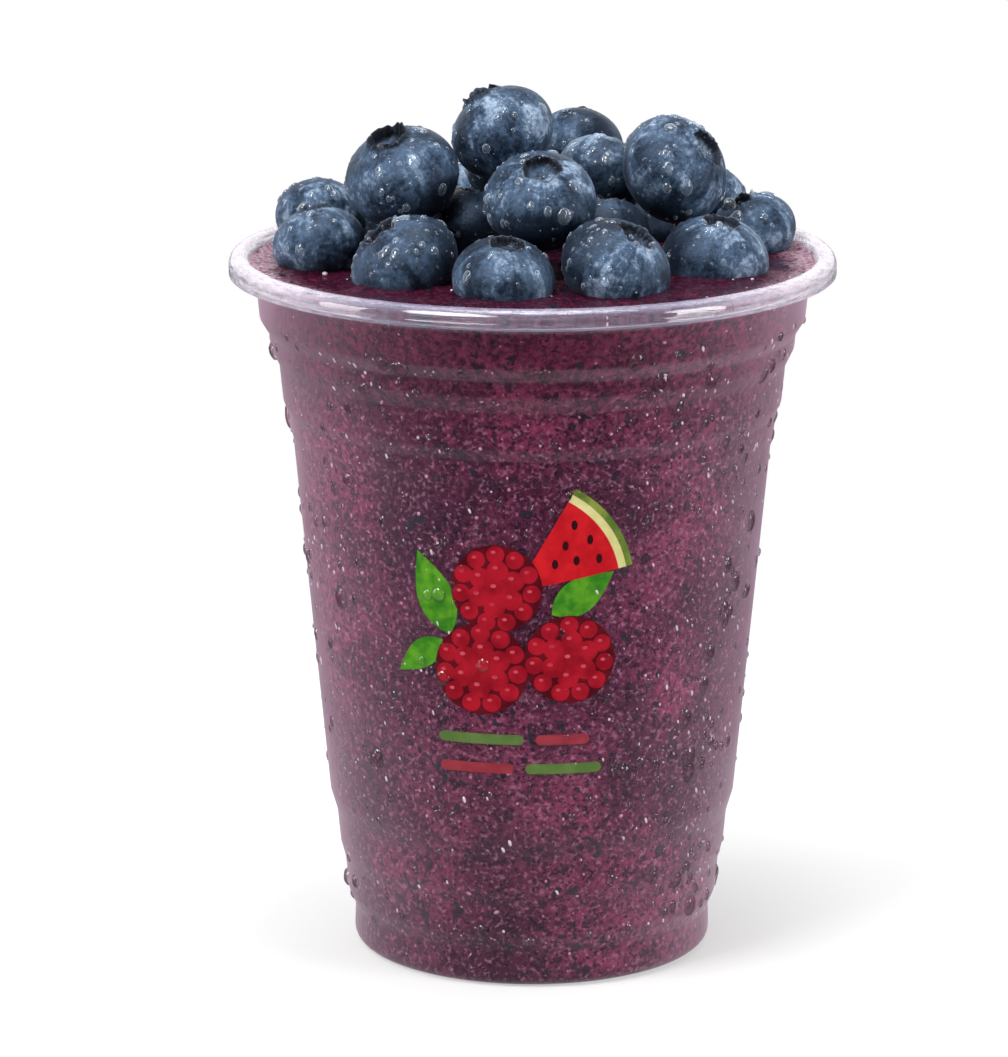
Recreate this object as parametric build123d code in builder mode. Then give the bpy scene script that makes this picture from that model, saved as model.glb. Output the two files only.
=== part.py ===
from build123d import *
import math
import os

# Berry smoothie: a clear disposable cup with a rolled rim and moulded steps, filled to the brim
# with smoothie and heaped with whole blueberries. Millimetres, +Z up. The origin is the centre of
# the cup's base, and the front of the heap faces -Y.

# Cup
CUP_HEIGHT = 115.2
RIM_R = 49.0  # outside of the rolled rim
RIM_WIDTH = 3.5  # across the roll
RIM_DROP = 3.2  # from the top of the roll to its lower edge
RIM_ROUND = 1.2  # inside the roll
RIM_FLARE_H = 2.6  # from the top of the roll down to where the wall flares into it
NECK_H = 4.6  # from the top of the roll down to the start of the flare
WALL = 0.5
FOOT_R = 29.35  # outside of the foot
FOOT_TOP_R = 29.15
FOOT_ROUND = 2.0
RING_R = 26.0  # inside of the ring that the cup stands on
RING_ROUND = 1.0
PUNT_R = 20.0  # raised middle of the base
PUNT_H = 3.0
DRAFT = 0.095  # how far the wall leans out for each millimetre of height
STEP_ROUND = 1.3
# Moulded steps, from the ledge over the foot to the collar under the rim: the height at which
# each one starts, how high it is, and how far it comes out.
STEPS = [
    (6.0, 2.8, 1.15),
    (14.0, 2.9, 0.80),
    (22.2, 3.7, 1.10),
    (85.0, 1.6, 0.45),
    (89.2, 2.1, 0.90),
    (97.2, 2.9, 1.40),
    (102.5, 2.4, 1.50),
]

ROLL_POINTS = 3  # how many of the path's last points make the roll

# Smoothie
LEVEL = 113.3

# Blueberries: girth is the widest diameter and squash the height as a share of it
CROWN_R = 0.34  # outside of the crown, as a share of half the girth
CROWN_LIP = 0.35  # how far the crown stands up
CROWN_WIDTH = 0.9  # at its foot
CROWN_EDGE = 0.35  # at its top
CROWN_DEPTH = 1.5  # hollow inside the crown
LOBES = 5
SKIN_START = -math.pi / 2  # the skin's curve runs from the foot of the berry up to its crown
SKIN_SPANS = 6
NOTCH_R = 0.45  # radius of the gaps between the crown's lobes
CLEARANCE = 0.15  # left between a resting berry and the ones that carry it

# Berries that sit in the smoothie: place, x, y, height of the centre over the smoothie, girth,
# squash, and the way that the crown points, as a heading from +X and a tilt from upright.
FLOATING = [
    ("left", -34.2, -3.4, 3.4, 15.2, 0.80, 130, 14),
    ("front_left", -20.3, -15.3, 2.4, 18.1, 0.80, -168, 35),
    ("front", -4.7, -24.8, 2.0, 16.2, 0.80, -66, 14),
    ("front_right", 13.0, -21.7, 3.1, 18.0, 0.80, -30, 32),
    ("right", 29.2, -6.3, 1.4, 17.4, 0.80, -40, 12),
    ("far_right", 35.9, 12.1, 2.6, 14.8, 0.80, -168, 25),
    ("far_left", -34.6, 14.0, 4.7, 14.8, 0.82, 80, 33),
    ("back_right", 28.8, 24.5, 5.2, 14.3, 0.85, 58, 39),
    ("inner_right", 11.6, -1.8, 4.6, 14.9, 0.85, 53, 10),
    ("inner_left", -9.6, 2.1, 5.4, 14.5, 0.85, 50, 10),
    ("back_left", -22.1, 27.3, 3.2, 15.5, 0.80, 117, 44),
    ("back", -8.9, 35.8, 3.0, 16.0, 0.80, 82, 46),
    ("back_middle", 12.5, 34.9, 1.1, 16.0, 0.80, 75, 55),
    ("inner_far_left", -19.7, 12.9, 3.6, 15.0, 0.82, 67, 15),
    ("inner_back", 1.4, 24.9, 1.6, 15.0, 0.82, 90, 8),
    ("inner_back_right", 16.5, 20.7, 1.0, 14.2, 0.82, 90, 20),
]

# Berries that rest on others, in the order in which they are laid down: place, x, y, girth,
# squash, heading and tilt of the crown.
RESTING = [
    ("heap_middle", 11.1, 13.0, 14.8, 0.85, 50, 42),
    ("heap_core", -3.3, 16.7, 15.2, 0.84, 112, 34),
    ("heap_back", 7.6, 26.6, 15.2, 0.82, 81, 38),
    ("heap_front", 1.2, -10.8, 18.0, 0.80, -87, 30),
    ("heap_right", 22.8, 3.1, 18.3, 0.84, -26, 55),
    ("heap_left", -20.9, -2.4, 18.5, 0.82, -136, 26),
    ("heap_top", -4.8, 2.8, 17.1, 0.82, 173, 30),
]
DROP_FROM = 160.0  # height from which a resting berry comes down
DROP_STEPS = 24  # halvings of its height, which settle it to well under CLEARANCE


def wall_points():
    """The outside of the cup as (radius, height, rounding), from the middle of the base to the
    lower edge of the rim's roll. The sheet's other face is WALL to the left of this path."""
    points = [(0, PUNT_H, 0), (PUNT_R, PUNT_H, RING_ROUND), (RING_R, 0, RING_ROUND)]
    points.append((FOOT_R, 0, FOOT_ROUND))
    radius = FOOT_TOP_R
    top = 0
    for start, rise, out in STEPS:
        if top:
            radius += DRAFT * (start - top)
        points.append((radius, start, STEP_ROUND))
        radius += out
        top = start + rise
        points.append((radius, top, STEP_ROUND))
    neck = CUP_HEIGHT - NECK_H
    radius += DRAFT * (neck - top)
    roll = RIM_R - RIM_WIDTH + WALL
    points.append((radius, neck, STEP_ROUND))
    points.append((roll, CUP_HEIGHT - RIM_FLARE_H, STEP_ROUND / 2))
    points.append((roll, CUP_HEIGHT - WALL, RIM_ROUND))
    points.append((RIM_R - WALL, CUP_HEIGHT - WALL, RIM_ROUND))
    points.append((RIM_R - WALL, CUP_HEIGHT - RIM_DROP, 0))
    return points


def parallel(points, distance):
    """The same path moved to its left by distance, with its roundings kept concentric."""
    moved = []
    for i, (x, y, rounding) in enumerate(points):
        before = points[max(i - 1, 0)]
        after = points[min(i + 1, len(points) - 1)]
        turn_in = math.atan2(y - before[1], x - before[0]) if i else None
        turn_out = math.atan2(after[1] - y, after[0] - x) if i < len(points) - 1 else turn_in
        turn_in = turn_out if turn_in is None else turn_in
        middle = (turn_in + turn_out) / 2
        reach = distance / math.cos((turn_out - turn_in) / 2)
        side = math.copysign(distance, turn_out - turn_in)
        rounding = max(rounding - side, 0) if rounding else 0
        moved.append((x - reach * math.sin(middle), y + reach * math.cos(middle), rounding))
    return moved


def half_width(berry, direction):
    """How far a berry reaches from its centre in a unit direction."""
    girth, squash, crown = berry["girth"], berry["squash"], berry["crown"]
    along = direction.dot(crown)
    return girth / 2 * math.sqrt(1 - (1 - squash**2) * along**2)


def furthest(berry, direction):
    """The point of a berry that is furthest in a unit direction."""
    crown = berry["crown"]
    lean = direction - crown * ((1 - berry["squash"] ** 2) * direction.dot(crown))
    return berry["centre"] + lean * ((berry["girth"] / 2) ** 2 / half_width(berry, direction))


def gap(berry, other):
    """The space between two berries, below zero where they cross."""
    between = other["centre"] - berry["centre"]
    direction = between.normalized()
    widest = -math.inf
    for _ in range(12):
        here = between.dot(direction) - half_width(berry, direction) - half_width(other, direction)
        widest = max(widest, here)
        across = furthest(other, -direction) - furthest(berry, direction)
        across = across - direction * across.dot(direction)
        direction = (direction + across * (0.8 / between.length)).normalized()
    return widest


def berry_facts(place, x, y, z, girth, squash, heading, tilt):
    """One berry's place, size and the unit vector along its crown."""
    lean = math.sin(math.radians(tilt))
    turn = math.radians(heading)
    crown = Vector(lean * math.cos(turn), lean * math.sin(turn), math.cos(math.radians(tilt)))
    facts = {"place": place, "centre": Vector(x, y, z), "crown": crown}
    facts["girth"] = girth
    facts["squash"] = squash
    return facts


def settle(berry, laid):
    """Lowers a berry straight down until it rests on one of those already laid."""
    x, y, high = berry["centre"].X, berry["centre"].Y, DROP_FROM
    low = LEVEL
    for _ in range(DROP_STEPS):
        berry["centre"] = Vector(x, y, (high + low) / 2)
        if min(gap(berry, other) for other in laid) > CLEARANCE:
            high = berry["centre"].Z
        else:
            low = berry["centre"].Z
    berry["centre"] = Vector(x, y, high)


def blueberry(facts):
    """A flattened berry with a hollow crown of five lobes at its top."""
    centre, crown = facts["centre"], facts["crown"]
    wide = facts["girth"] / 2
    high = wide * facts["squash"]
    crown_r = CROWN_R * wide
    shoulder = high * math.sqrt(1 - CROWN_R**2)
    lip = shoulder + CROWN_LIP
    skin = math.acos(CROWN_R)
    upright = Plane(origin=centre, z_dir=crown)
    section = Plane(origin=centre, x_dir=upright.x_dir, z_dir=-upright.y_dir)
    with BuildPart() as berry:
        with BuildSketch(section):
            with BuildLine():
                span = (skin - SKIN_START) / SKIN_SPANS
                angles = [SKIN_START + span * i for i in range(SKIN_SPANS + 1)]
                Spline(
                    *[(wide * math.cos(angle), high * math.sin(angle)) for angle in angles],
                    tangents=[(1, 0), (-wide * math.sin(skin), high * math.cos(skin))],
                )
                Polyline(
                    (crown_r, shoulder),
                    (crown_r - (CROWN_WIDTH - CROWN_EDGE) / 2, lip),
                    (crown_r - (CROWN_WIDTH + CROWN_EDGE) / 2, lip),
                    (crown_r - CROWN_WIDTH, lip - CROWN_DEPTH),
                    (0, lip - CROWN_DEPTH),
                    (0, -high),
                )
            make_face()
        revolve(axis=Axis(centre, crown))
        with Locations(upright.offset(lip)):
            with PolarLocations(crown_r - CROWN_WIDTH / 2, LOBES):
                Cylinder(NOTCH_R, 2 * CROWN_WIDTH, rotation=(0, 90, 0), mode=Mode.SUBTRACT)
    berry.part.label = "blueberry_" + facts["place"]
    return berry.part


# Where every berry lies
floating = [
    berry_facts(place, x, y, LEVEL + lift, girth, squash, heading, tilt)
    for place, x, y, lift, girth, squash, heading, tilt in FLOATING
]
resting = []
for place, x, y, girth, squash, heading, tilt in RESTING:
    berry = berry_facts(place, x, y, DROP_FROM, girth, squash, heading, tilt)
    settle(berry, floating + resting)
    resting.append(berry)

# Cup: one thin sheet turned about the axis, from the raised base to the rolled rim
outside = wall_points()
inside = parallel(outside, WALL)
with BuildPart() as cup:
    with BuildSketch(Plane.XZ):
        with BuildLine():
            loop = outside + inside[::-1]
            FilletPolyline(
                *[(r, z) for r, z, _ in loop],
                radius=[rounding for _, _, rounding in loop],
                close=True,
            )
        make_face()
    revolve(axis=Axis.Z)
cup.part.label = "cup"
export_step(cup.part, "parts/cup.step")

# Blueberries
berries = [blueberry(facts) for facts in floating + resting]
for berry in berries:
    export_step(berry, f"parts/{berry.label}.step")

# Smoothie: fills the cup face to face up to its level, and is cut round the berries in it
fill = inside[:-ROLL_POINTS]
fill.append((fill[-1][0], CUP_HEIGHT, 0))
fill.append((0, CUP_HEIGHT, 0))
with BuildPart() as smoothie:
    with BuildSketch(Plane.XZ):
        with BuildLine():
            FilletPolyline(
                *[(r, z) for r, z, _ in fill],
                radius=[rounding for _, _, rounding in fill],
                close=True,
            )
        make_face()
    revolve(axis=Axis.Z)
    split(bisect_by=Plane.XY.offset(LEVEL), keep=Keep.BOTTOM)
    add(berries[: len(floating)], mode=Mode.SUBTRACT)
smoothie.part.label = "smoothie"
export_step(smoothie.part, "parts/smoothie.step")
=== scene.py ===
"""Looks of a berry smoothie: a clear moulded cup, filled to the brim and heaped with blueberries.

Lengths named in capitals are millimetres and are turned into metres where a mesh is made. Lengths
in a material or the studio are metres.
"""

import math
import random

import bpy
import numpy as np
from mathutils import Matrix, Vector, geometry, noise


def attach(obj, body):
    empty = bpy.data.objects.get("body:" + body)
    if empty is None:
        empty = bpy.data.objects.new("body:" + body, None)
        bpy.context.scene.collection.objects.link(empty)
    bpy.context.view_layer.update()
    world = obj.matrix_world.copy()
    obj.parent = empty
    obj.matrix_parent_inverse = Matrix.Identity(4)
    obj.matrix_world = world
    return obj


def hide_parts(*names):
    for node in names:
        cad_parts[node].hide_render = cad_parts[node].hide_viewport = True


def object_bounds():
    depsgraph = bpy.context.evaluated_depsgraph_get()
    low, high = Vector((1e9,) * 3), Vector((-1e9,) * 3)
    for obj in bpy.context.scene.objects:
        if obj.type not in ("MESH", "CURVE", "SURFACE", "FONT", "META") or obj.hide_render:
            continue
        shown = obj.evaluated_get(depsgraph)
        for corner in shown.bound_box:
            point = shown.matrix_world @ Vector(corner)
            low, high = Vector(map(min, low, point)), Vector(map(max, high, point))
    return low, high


MM = 0.001

# Cup, the same driving sizes as the part
CUP_HEIGHT = 115.2
RIM_R = 49.0
RIM_WIDTH = 3.5
RIM_DROP = 3.2
RIM_ROUND = 1.2
RIM_FLARE_H = 2.6
NECK_H = 4.6
WALL = 0.5
FOOT_R = 29.35
FOOT_TOP_R = 29.15
FOOT_ROUND = 2.0
RING_R = 26.0
RING_ROUND = 1.0
PUNT_R = 20.0
PUNT_H = 3.0
DRAFT = 0.095
STEP_ROUND = 1.3
STEPS = [
    (6.0, 2.8, 1.15),
    (14.0, 2.9, 0.80),
    (22.2, 3.7, 1.10),
    (85.0, 1.6, 0.45),
    (89.2, 2.1, 0.90),
    (97.2, 2.9, 1.40),
    (102.5, 2.4, 1.50),
]
ROLL_POINTS = 3  # how many points of the outline lie past the inside of the roll
CUP_SIDES = 288  # facets round the cup
HOST_SIDES = 160  # facets round the sheets that bits are strewn over
ARC_STEP = math.radians(15)  # facets of a rounding in the cup's outline
LONGEST_RUN = 1.6  # between two points of an outline

# Smoothie
LEVEL = 113.3  # height of its surface
BITE = 0.15  # how far the smoothie reaches into the wall
TOP_RINGS = 88  # rings of facets on its top
# Bits blended into it: the size of their cells in metres, the share of cells with a bit, how full and
# how ragged a bit is, its colour and how strong that is
SMOOTHIE_BITS = [
    (0.0009, 0.55, 0.46, 0.6, (38, 10, 30), 0.80),
    (0.0016, 0.36, 0.40, 0.8, (32, 12, 30), 0.85),
    (0.0030, 0.26, 0.34, 1.1, (26, 14, 32), 0.85),
    (0.0090, 0.52, 0.32, 1.7, (26, 32, 44), 0.88),
    (0.0036, 0.14, 0.10, 0.5, (214, 170, 188), 0.85),
]

# Mist on the wall: the most that it hides straight on, and edge on
MIST = 0.016
MIST_EDGE = 0.88
RIM_CLOUD = 0.56  # the most that the cloudy roll hides
PLASTIC = (1.45, 0.03)  # index of refraction and roughness
# Heights on the outside of the cup between which water gathers, and inside where pulp is pressed on it
DEW_SPAN = (6.0, CUP_HEIGHT - NECK_H - 3)
PULP_SPAN = (1.0, LEVEL - 1.5)

# Blueberries, as shares of half the girth
BERRY_SIDES = 100
SKIN_ROWS = 46
CROWN_R = 0.40
LOBES = 5
TALL_CROWNS = {"blueberry_heap_top": 0.17, "blueberry_heap_left": 0.13, "blueberry_left": 0.10}
TALL = 0.09  # from here on a crown stands up dark, without a pale edge
# The floor of a crown from its middle out: radius, height, and how much is husk
CROWN_FLOOR = [(0.02, 0.012, 0.4), (0.05, 0.024, 0.3), (0.075, 0.002, 0.3), (0.12, -0.004, 0.0)]
CROWN_FLOOR += [(0.17, 0.0, 0.0), (0.205, 0.006, 0.05), (0.232, 0.022, 0.4)]
BLOOM_STOPS = [(0, (5, 8, 14)), (0.30, (23, 32, 46)), (0.60, (62, 80, 102)), (1, (158, 176, 197))]

# Print on the wall: its middle as an arc length from the front, and its height
PRINT_AT = -4.5
PRINT_H = 63.4
INK = 0.03  # one film of ink
INK_DEPTH = INK * 1.2  # of a printed shape, so that it reaches into what is under it
INK_STEP = 1.2  # between two points of a printed shape
SLICE_AT = (1.5, 4.5)  # the slice's inner corner
SLICE_SPAN = (11, 60)  # the headings of its two sides, in degrees

# Strewn bits: the sockets of their shape, and for each piece its name, how many lie on a square
# centimetre where it is wettest, the smallest and largest radius, and the shape. Wobble is in mm.
BIT_SHAPE = [(label, "Float") for label in ("Rarity of large", "Flatness", "Stretch", "Turn", "Wobble")]
BIT_SHAPE += [("Detail", "Int"), ("Seed", "Int")]
BERRY_DEW = [
    ("dew_fine", 26, 0.10, 0.28, 2.0, 0.6, 1.0, 0.0, 0.0, 1, 3),
    ("dew_drops", 7.0, 0.28, 0.72, 1.8, 0.5, 1.5, 0.0, 0.10, 2, 8),
    ("dew_large", 1.0, 0.65, 1.15, 1.4, 0.42, 1.4, 0.0, 0.25, 3, 11),
]
TOP_DEW = ("top_dew", 12.0, 0.14, 0.52, 2.2, 0.7, 1.0, 0.0, 0.0, 2, 14)
WALL_DEW = [
    ("wall_dew_fine", 8.0, 0.08, 0.30, 2.6, 0.5, 2.8, 0.5, 0.0, 1, 5),
    ("wall_dew_drops", 6.0, 0.26, 0.60, 2.0, 0.54, 1.6, 0.0, 0.08, 2, 15),
    ("wall_dew_beads", 2.6, 0.60, 1.50, 2.6, 0.54, 1.6, 0.0, 0.2, 3, 9),
]
PRESSED_PULP = [
    ("skin_flecks", 13.0, 0.10, 0.38, 1.6, 0.16, 1.7, 6.28, 0.35, 1, 2),
    ("skin_scraps", 2.2, 0.40, 0.85, 2.2, 0.16, 1.8, 6.28, 0.7, 1, 6),
    ("pulp_crumbs", 4.0, 0.08, 0.34, 2.0, 0.3, 1.8, 6.28, 0.1, 1, 4),
]

# Studio: how bright the ceiling and the front look in gloss, and what lights the object
CEILING = 0.35
FRONT = 0.10
AMBIENT = 0.16
SOFT_BOX = (-0.45, -0.60, 0.70)  # which way a glint on wet stuff comes from
GLINT = 15.0
LAMPS = [
    ("key", (-0.40, -0.42, 0.85), (0.34, 0.28), 6.4),
    ("top", (0.02, 0.02, 0.95), (0.5, 0.4), 7.2),
    ("left", (-0.85, -0.22, 0.26), (0.30, 0.5), 3.0),
    ("right", (0.82, -0.40, 0.30), (0.35, 0.5), 5.8),
    ("front", (-0.15, -1.1, 0.30), (0.9, 0.5), 0.5),
]
LAMPS_FACE = (0, 0, 0.08)
FLOOR_HALF = 6.0
FLOOR_DROP = 0.0002  # so that the floor and the cup's foot don't share a plane
CAMERA_AT = (-0.0046, -0.8844, 0.2862)
CAMERA_DOWN = 13.8  # degrees
LENS = 190.0  # these two in millimetres
SENSOR = 36.0


# --- outlines and plain meshes


def wall_points():
    """The outside of the cup as (radius, height, rounding), from the base to the rim's edge."""
    points = [(0, PUNT_H, 0), (PUNT_R, PUNT_H, RING_ROUND), (RING_R, 0, RING_ROUND)]
    points.append((FOOT_R, 0, FOOT_ROUND))
    radius = FOOT_TOP_R
    top = 0
    for start, rise, out in STEPS:
        if top:
            radius += DRAFT * (start - top)
        points.append((radius, start, STEP_ROUND))
        radius += out
        top = start + rise
        points.append((radius, top, STEP_ROUND))
    neck = CUP_HEIGHT - NECK_H
    radius += DRAFT * (neck - top)
    roll = RIM_R - RIM_WIDTH + WALL
    points.append((radius, neck, STEP_ROUND))
    points.append((roll, CUP_HEIGHT - RIM_FLARE_H, STEP_ROUND / 2))
    points.append((roll, CUP_HEIGHT - WALL, RIM_ROUND))
    points.append((RIM_R - WALL, CUP_HEIGHT - WALL, RIM_ROUND))
    points.append((RIM_R - WALL, CUP_HEIGHT - RIM_DROP, 0))
    return points


def parallel(points, distance):
    """The same path moved to its left by distance, with its roundings kept concentric."""
    moved = []
    for i, (x, y, rounding) in enumerate(points):
        before = points[max(i - 1, 0)]
        after = points[min(i + 1, len(points) - 1)]
        turn_in = math.atan2(y - before[1], x - before[0]) if i else None
        turn_out = math.atan2(after[1] - y, after[0] - x) if i < len(points) - 1 else turn_in
        turn_in = turn_out if turn_in is None else turn_in
        middle = (turn_in + turn_out) / 2
        reach = distance / math.cos((turn_out - turn_in) / 2)
        side = math.copysign(distance, turn_out - turn_in)
        rounding = max(rounding - side, 0) if rounding else 0
        moved.append((x - reach * math.sin(middle), y + reach * math.cos(middle), rounding))
    return moved


def rounded(points):
    """A path's corners turned into arcs, and its long runs cut up, as (radius, height) pairs."""
    line = [Vector(points[0][:2])]
    for i, (x, y, rounding) in enumerate(points[1:-1], 1):
        corner = Vector((x, y))
        into = (corner - Vector(points[i - 1][:2])).normalized()
        out = (Vector(points[i + 1][:2]) - corner).normalized()
        turn = into.angle_signed(out)
        if not rounding or abs(turn) < 1e-3:
            line.append(corner)
            continue
        back = rounding * math.tan(abs(turn) / 2)
        start = corner - into * back
        side = math.copysign(1, -turn)
        middle = start + Vector((-into.y, into.x)) * rounding * side
        facets = max(2, round(abs(turn) / ARC_STEP))
        spoke = start - middle
        for k in range(facets + 1):
            angle = side * abs(turn) * k / facets
            cos, sin = math.cos(angle), math.sin(angle)
            line.append(middle + Vector((spoke.x * cos - spoke.y * sin, spoke.x * sin + spoke.y * cos)))
    line.append(Vector(points[-1][:2]))
    cut = [line[0]]
    for end in line[1:]:
        start = cut[-1]
        parts = max(1, math.ceil((end - start).length / LONGEST_RUN))
        cut += [start.lerp(end, k / parts) for k in range(1, parts + 1)]
    return [(p.x, p.y) for p in cut]


def upright(outline, low, high):
    """The part of an outline that is the wall's side, between two heights."""
    return [(r, z) for r, z in outline if low < z < high and r > FOOT_TOP_R - FOOT_ROUND]


def plain_mesh(name, points, faces):
    mesh = bpy.data.meshes.new(name)
    mesh.from_pydata(points, [], faces)
    return mesh


def shown_as(name, data):
    """An object in the scene that shows a mesh, a lamp or a camera."""
    thing = bpy.data.objects.new(name, data)
    bpy.context.scene.collection.objects.link(thing)
    return thing


def grid_mesh(name, rows, close_start=True, close_end=True):
    """A closed mesh through rows of points, each row a ring, with a fan at either end."""
    sides = len(rows[0])
    points = [p for row in rows for p in row]
    faces = []
    for i in range(len(rows) - 1):
        for j in range(sides):
            after = (j + 1) % sides
            a, b = i * sides + j, i * sides + after
            faces.append((a, b, b + sides, a + sides))
    if close_start:
        middle = len(points)
        points.append(np.mean(rows[0], axis=0))
        faces += [(middle, (j + 1) % sides, j) for j in range(sides)]
    if close_end:
        middle = len(points)
        points.append(np.mean(rows[-1], axis=0))
        first = (len(rows) - 1) * sides
        faces += [(middle, first + j, first + (j + 1) % sides) for j in range(sides)]
    mesh = plain_mesh(name, [tuple(float(c) for c in p) for p in points], faces)
    mesh.shade_smooth()
    return mesh


def turned(name, outline, sides, change=None, **ends):
    """An outline of (radius, height) pairs in millimetres turned about the axis."""
    rows = []
    for radius, height in outline:
        row = []
        for j in range(sides):
            angle = 2 * math.pi * j / sides
            r, z = change(radius, height, angle) if change else (radius, height)
            row.append((r * math.cos(angle) * MM, r * math.sin(angle) * MM, z * MM))
        rows.append(row)
    return grid_mesh(name, rows, **ends)


def piece(mesh, name, material, replaces=None):
    """Shows a mesh as a piece of the object, riding on its one body."""
    mesh.name = name
    mesh.materials.clear()
    mesh.materials.append(material)
    thing = shown_as(name, mesh)
    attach(thing, "root")
    if replaces:
        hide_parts(replaces)
    return thing


def mark(mesh, name, values):
    """Stores one value or vector for each point of a mesh."""
    values = np.asarray(values, np.float32)
    kind, field = ("FLOAT", "value") if values.ndim == 1 else ("FLOAT_VECTOR", "vector")
    mesh.attributes.new(name, kind, "POINT").data.foreach_set(field, values.ravel())


def points_of(mesh):
    """The points of a mesh as rows of a table, in millimetres."""
    table = np.zeros(len(mesh.vertices) * 3, np.float32)
    mesh.vertices.foreach_get("co", table)
    return table.reshape(-1, 3).astype(float) / MM


def ripple(x, y, z, size, shift=0.0):
    """Smooth noise from -1 to 1 whose lumps are about size across."""
    return noise.noise(Vector((x / size + shift, y / size - shift, z / size + 2 * shift)))


# --- node helpers


class Nodes:
    """Short ways to place and join nodes in one tree."""

    def __init__(self, tree):
        self.tree = tree
        self.placed = 0

    def add(self, kind, inputs=None, **settings):
        made = self.tree.nodes.new(kind)
        made.location = (self.placed % 12 * 190, -(self.placed // 12) * 260)
        self.placed += 1
        for name, value in settings.items():
            setattr(made, name, value)
        for name, value in (inputs or {}).items():
            self.feed(made, name, value)
        return made

    def feed(self, made, name, value):
        """Joins a socket or a node's first output to an input, or sets its value. A colour of
        three is in 0 to 255 steps."""
        socket = made.inputs[name]
        if isinstance(value, bpy.types.Node):
            value = value.outputs[0]
        if isinstance(value, bpy.types.NodeSocket):
            self.tree.links.new(value, socket)
        elif socket.type == "RGBA" and len(value) == 3:
            socket.default_value = (*srgb(*value), 1)
        else:
            socket.default_value = value

    def math(self, operation, a, b=0.0, clamp=False):
        made = self.add("ShaderNodeMath", {0: a, 1: b}, operation=operation, use_clamp=clamp)
        return made.outputs[0]

    def plus(self, a, b, clamp=False):
        return self.math("ADD", a, b, clamp)

    def minus(self, a, b):
        return self.math("SUBTRACT", a, b)

    def times(self, a, b):
        return self.math("MULTIPLY", a, b)

    def ramp(self, value, low, high, to_low=0.0, to_high=1.0):
        """Value moved smoothly from to_low at low to to_high at high."""
        inputs = {"Value": value, "From Min": low, "From Max": high, "To Min": to_low, "To Max": to_high}
        made = self.add("ShaderNodeMapRange", inputs, interpolation_type="SMOOTHSTEP")
        return made.outputs["Result"]

    def mix(self, share, a, b):
        """Two colours mixed by share."""
        made = self.add("ShaderNodeMix", data_type="RGBA")
        self.feed(made, 0, share)
        self.feed(made, 6, a)
        self.feed(made, 7, b)
        return made.outputs[2]

    def noise(self, vector, scale, detail=3.0, roughness=0.55, distortion=0.0):
        inputs = {"Scale": scale, "Detail": detail, "Roughness": roughness, "Distortion": distortion}
        return self.add("ShaderNodeTexNoise", {"Vector": vector, **inputs}).outputs[0]

    def vector(self, operation, a, b=None):
        """One step of vector arithmetic that gives a vector, or a value where it measures."""
        inputs = {0: a} if b is None else {0: a, "Scale" if operation == "SCALE" else 1: b}
        made = self.add("ShaderNodeVectorMath", inputs, operation=operation)
        return made.outputs["Value" if operation in ("LENGTH", "DOT_PRODUCT") else "Vector"]

    def place(self):
        """Where the shaded point is, in metres from the cup's foot."""
        return self.add("ShaderNodeTexCoord").outputs["Object"]

    def axis(self, vector, name):
        return self.add("ShaderNodeSeparateXYZ", {"Vector": vector}).outputs[name]

    def by_height(self, place, low, high, to_low=0.0, to_high=1.0):
        """A ramp between two heights over the foot, in millimetres."""
        return self.ramp(self.axis(place, "Z"), low * MM, high * MM, to_low, to_high)

    def stretched(self, vector, x, y, z):
        return self.add("ShaderNodeMapping", {"Vector": vector, "Scale": (x, y, z)}).outputs["Vector"]

    def from_axis(self, vector):
        """How far a place is from the cup's upright axis."""
        return self.vector("LENGTH", self.stretched(vector, 1, 1, 0))

    def own(self, name, output="Fac"):
        """What a mesh stores for each point under a name."""
        return self.add("ShaderNodeAttribute", attribute_name=name).outputs[output]

    def joined(self, share, first, second):
        """Two shaders mixed by share."""
        return self.add("ShaderNodeMixShader", {0: share, 1: first, 2: second})


def srgb(red, green, blue):
    """A colour given as 0 to 255 steps turned into the linear values that shaders use."""
    out = []
    for step in (red, green, blue):
        c = step / 255
        out.append(c / 12.92 if c <= 0.04045 else ((c + 0.055) / 1.055) ** 2.4)
    return tuple(out)


def new_material(name):
    """The nodes of a new material."""
    material = bpy.data.materials.new(name)
    material.use_nodes = True
    material.node_tree.nodes.clear()
    nodes = Nodes(material.node_tree)
    nodes.material = material
    return nodes


def finished(nodes, shader):
    """Puts a shader on the material's surface."""
    nodes.feed(nodes.add("ShaderNodeOutputMaterial"), "Surface", shader)
    return nodes.material


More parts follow.
